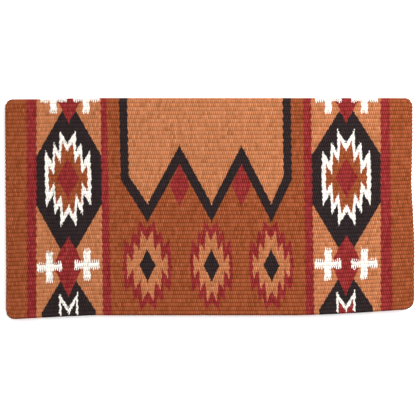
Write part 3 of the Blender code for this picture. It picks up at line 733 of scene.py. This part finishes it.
float_size[:, 0] += WIDTH_JITTER * dice.uniform(-1, 1, total)
float_size[:, 1] += LENGTH_JITTER * dice.uniform(-1, 1, total)
float_turn = np.zeros((total, 3))
float_turn[:, 2] = TURN_JITTER * dice.uniform(-1, 1, total)
float_points = np.stack([float_across, (float_ribs + 0.5) * RIB, np.zeros(total)], axis=-1)

x, depth, _ = lay(float_across, float_ribs + 0.5, 0)
float_x, float_y = CAD_LOW[0] + x, CAD_HIGH[1] - depth
middle_area = areas_at(float_x, float_y)
meets = np.zeros(total, dtype=bool)
for step_x in (-1, 0, 1):
    for step_y in (-1, 0, 1):
        there = areas_at(
            float_x + step_x * (FLOAT_WIDTH / 2 + EDGE_WAVE),
            float_y + step_y * (FLOAT_LENGTH / 2 + COMB_TOOTH),
        )
        meets |= there != middle_area

for body, upper in (("upper_half", True), ("lower_half", False)):
    outer = (float_ribs <= OUTER_RIBS) & upper
    floats = woven(
        float_points, float_turn, float_size,
        shade=np.clip(float_shade, -SHADE_LIMIT, SHADE_LIMIT),
        pick=np.where(float_ribs % 2 == 0, 1, -1), area=middle_area,
        grade=np.where(outer, 1, 0) + np.where(meets, 2, 0),
    )
    at = floats["at"].astype(float)
    faces = floats["faces"]
    area = floats["area"][faces[:, 0]].copy()
    parted = np.flatnonzero(floats["grade"][faces[:, 0]] > 1)
    x, depth, _ = lay(at[:, 0], at[:, 1] / RIB, -at[:, 2])
    face_x = CAD_LOW[0] + x[faces[parted]].mean(axis=1)
    face_y = CAD_HIGH[1] - depth[faces[parted]].mean(axis=1)
    face_rib = at[faces[parted], 1].mean(axis=1) / RIB
    bricked = floats["pick"][faces[parted, 0]] * BRICK_SHIFT
    tooth = np.cos(math.tau * (at[faces[parted], 0].mean(axis=1) / spacing - 0.5 - bricked))
    tooth = np.clip(COMB_SQUARENESS * tooth, -1, 1)
    tooth *= COMB_TOOTH * (1 + COMB_UNEVEN * floats["shade"][faces[parted, 0]])
    here = areas_at(face_x, face_y)
    level = np.ones(len(parted), dtype=bool)
    upright = np.ones(len(parted), dtype=bool)
    for way in (-1, 1):
        level &= areas_at(face_x + way * EDGE_REACH_ACROSS, face_y) == here
        upright &= areas_at(face_x, face_y + way * EDGE_REACH_ALONG) == here
    combed = areas_at(face_x, face_y + tooth)
    waved = areas_at(face_x + EDGE_WAVE * np.cos(math.pi * face_rib), face_y)
    stepped = areas_at(face_x, face_y + tooth * STEP_SHARE)
    area[parted] = np.where(level & ~upright, combed, np.where(upright & ~level, waved, stepped))
    least = np.full(len(at), len(area_names))
    most = np.full(len(at), -1)
    for corner in range(4):
        np.minimum.at(least, faces[:, corner], area)
        np.maximum.at(most, faces[:, corner], area)
    sunk = -at[:, 2] + np.where(least != most, EDGE_SUNK, 0)
    placed = put(*lay(at[:, 0], at[:, 1] / RIB, sunk), upper)
    for index, area_name in enumerate(area_names):
        name = f"{area_name}_weft" if upper else f"under_{area_name}_weft"
        wool_name = area_wools[area_name]
        piece = cloth_piece(name, placed, floats, area == index, wool_name, upper)
        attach(piece, body)
        node = area_name if upper else f"lower_{area_name.removesuffix('_fold_ground')}"
        if node in frame["nodes"]:
            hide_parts(node)


# Crease weft
# Two ribs of weft on the inside of the fold. Folded, they lie squeezed flat between the
# layers. Their places are worked out from the low ridge that an old fold leaves in the open cloth.

CREASE_HALF = 0.0080
CREASE_RISE = 0.0041
CREASE_SILL = -0.0003
CREASE_SHADE_SPREAD = 0.5
CREASE_SIDE_RIB = 0.9
HALVINGS = 50
_, hinge_y, hinge_z = map(float, frame["record"]["behaviour"]["joints"][0]["pos_m"])
crease_columns, crease_ribs = np.meshgrid(np.arange(COLUMNS), np.arange(2))
crease_columns, crease_ribs = crease_columns.ravel(), crease_ribs.ravel()
crease_across = (crease_columns + 0.5 + np.where(crease_ribs == 0, 1, -1) * BRICK_SHIFT) * spacing
total = len(crease_across)
floats = woven(
    np.stack([crease_across, (crease_ribs - 0.5) * RIB, np.zeros(total)], axis=-1),
    np.zeros((total, 3)), np.ones((total, 3)),
    shade=CREASE_SHADE_SPREAD * dice.normal(size=total), grade=np.full(total, 1),
)
at = floats["at"].astype(float)
x, _, _ = lay(at[:, 0], np.full(len(at), CREASE_SIDE_RIB), 0)
_, sag, _ = lay(at[:, 0], np.zeros(len(at)), 0)
along = at[:, 1] / RIB
bow = math.pi * np.clip(along, -1, 1)
rise = CREASE_SILL + CREASE_RISE * (1 + np.cos(bow)) / 2
slope = -CREASE_RISE / 2 * math.pi / CREASE_HALF * np.sin(bow)
away = along * CREASE_HALF - at[:, 2] * slope / np.sqrt(1 + slope**2)
above = rise + at[:, 2] / np.sqrt(1 + slope**2)
radius = np.hypot(away, above)
open_angle = np.arctan2(above, -away)
open_angle = np.where(open_angle < -math.pi / 2, open_angle + math.tau, open_angle)
# Each corner's angle when folded, which the bend opens to open_angle, is found by halving
low = np.full(len(at), -math.pi / 2)
high = np.full(len(at), math.pi / 2)
for _ in range(HALVINGS):
    angle = (low + high) / 2
    share = (radius * np.sin(angle) + hinge_z - BEND_START) / (BEND_END - BEND_START)
    short = angle + math.pi * eased(share) < open_angle
    low = np.where(short, angle, low)
    high = np.where(short, high, angle)
placed = np.stack(
    [
        CAD_LOW[0] + x, hinge_y - radius * np.cos(angle) - sag,
        hinge_z + radius * np.sin(angle),
    ],
    axis=-1,
)
face_x = placed[floats["faces"], 0].mean(axis=1)
area = areas_at(face_x, np.full(len(face_x), CAD_HIGH[1] - CREASE_HALF / 2))
face_wool = np.array([area_wools[name] for name in area_names])[area]
for wool_name in sorted(set(face_wool)):
    name = f"crease_{wool_name.split('_')[0]}_weft"
    piece = cloth_piece(name, placed, floats, face_wool == wool_name, wool_name, False)
    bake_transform(piece)
